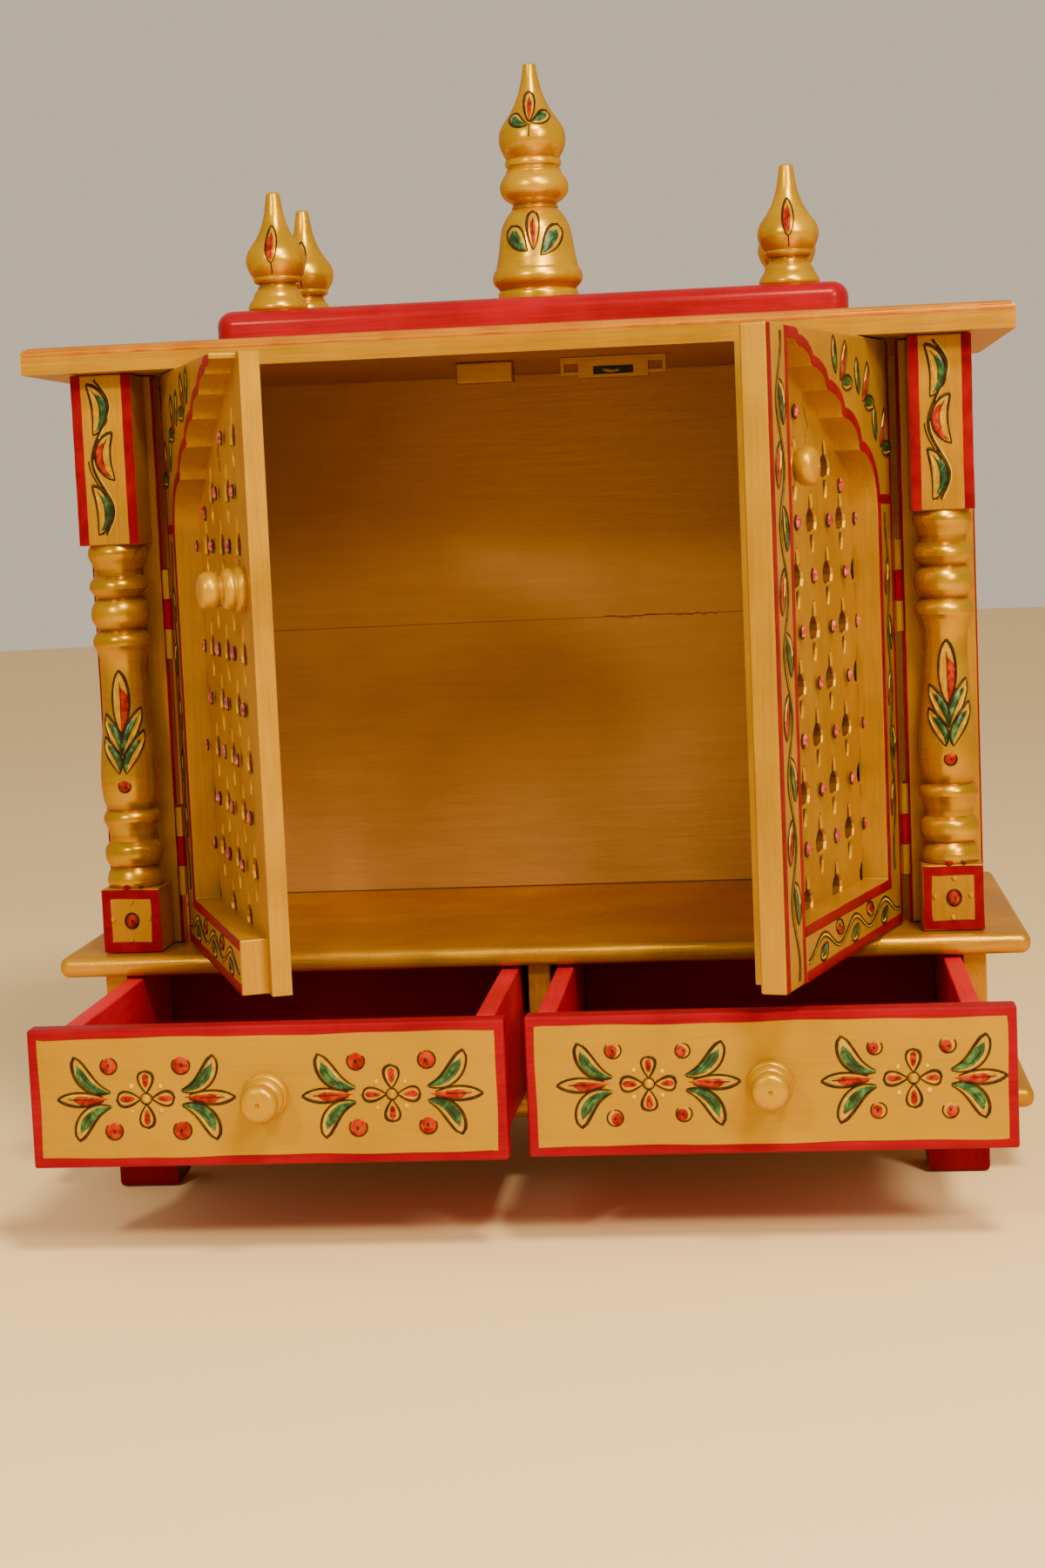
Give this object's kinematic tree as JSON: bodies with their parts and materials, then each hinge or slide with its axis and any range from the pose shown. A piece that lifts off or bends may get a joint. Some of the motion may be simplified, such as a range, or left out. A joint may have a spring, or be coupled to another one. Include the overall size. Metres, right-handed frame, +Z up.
{
  "type": "household shrine",
  "caption": "Painted wooden home temple cabinet with pierced double doors, turned pillars and finials, and drawers below an open shrine room.",
  "frame": {"origin": "on the floor, under the middle of the bounding box in the pose shown", "axes": "+X to the right of someone facing the doors, +Y towards the back panel, +Z up"},
  "size_m": [0.462, 0.3511, 0.5457],
  "materials": {
    "gold_paint": "brushed metallic gold paint over wood",
    "red_paint": "glossy red paint over wood",
    "painted_hinge": "steel butt hinge painted over in gold and red",
    "magnet_steel": "dark bare strike of the magnetic catch"
  },
  "bodies": {
    "cabinet": {"back_panel": "gold_paint", "base_board": "gold_paint", "case_back": "gold_paint", "case_divider": "gold_paint", "case_side_left": "gold_paint", "case_side_right": "gold_paint", "catch_housing": "gold_paint", "catch_magnet": "magnet_steel", "cornice_board": "gold_paint", "finial_centre": "gold_paint", "finial_front_left": "gold_paint", "finial_front_right": "gold_paint", "finial_rear_left": "gold_paint", "finial_rear_right": "gold_paint", "foot_front_left": "red_paint", "foot_front_right": "red_paint", "foot_rear_left": "red_paint", "foot_rear_right": "red_paint", "hinge_jamb_leaf_left_lower": "painted_hinge", "hinge_jamb_leaf_left_upper": "painted_hinge", "hinge_jamb_leaf_right_lower": "painted_hinge", "hinge_jamb_leaf_right_upper": "painted_hinge", "jamb_left": "gold_paint", "jamb_right": "gold_paint", "pillar_left": "gold_paint", "pillar_right": "gold_paint", "shelf_board": "gold_paint", "side_panel_left": "gold_paint", "side_panel_right": "gold_paint", "stop_block": "gold_paint", "top_slab": "red_paint"},
    "left_door": {"door_frame_left": "gold_paint", "door_knob_left": "gold_paint", "hinge_door_leaf_left_lower": "painted_hinge", "hinge_door_leaf_left_upper": "painted_hinge", "lattice_left": "gold_paint"},
    "right_door": {"door_frame_right": "gold_paint", "door_knob_right": "gold_paint", "hinge_door_leaf_right_lower": "painted_hinge", "hinge_door_leaf_right_upper": "painted_hinge", "lattice_right": "gold_paint", "meeting_strip": "gold_paint"},
    "left_drawer": {"drawer_back_left": "red_paint", "drawer_floor_left": "red_paint", "drawer_front_left": "red_paint", "drawer_knob_left": "gold_paint", "drawer_side_left_inner": "red_paint", "drawer_side_left_outer": "red_paint"},
    "right_drawer": {"drawer_back_right": "red_paint", "drawer_floor_right": "red_paint", "drawer_front_right": "red_paint", "drawer_knob_right": "gold_paint", "drawer_side_right_inner": "red_paint", "drawer_side_right_outer": "red_paint"}
  },
  "joints": [
    {"name": "left_door_hinge", "type": "hinge", "parent": "cabinet", "child": "left_door", "pos_m": [-0.17605, 0.00481, 0.2552], "axis": [0, 0, -1], "range_deg": [-69.5, 35.5]},
    {"name": "right_door_hinge", "type": "hinge", "parent": "cabinet", "child": "right_door", "pos_m": [0.17605, 0.00481, 0.2552], "axis": [0, 0, 1], "range_deg": [-72.5, 32.5]},
    {"name": "left_drawer_slide", "type": "slide", "parent": "cabinet", "child": "left_drawer", "axis": [0, -1, 0], "range_m": [-0.1185, 0.0265]},
    {"name": "right_drawer_slide", "type": "slide", "parent": "cabinet", "child": "right_drawer", "axis": [0, -1, 0], "range_m": [-0.1145, 0.0305]}
  ]
}
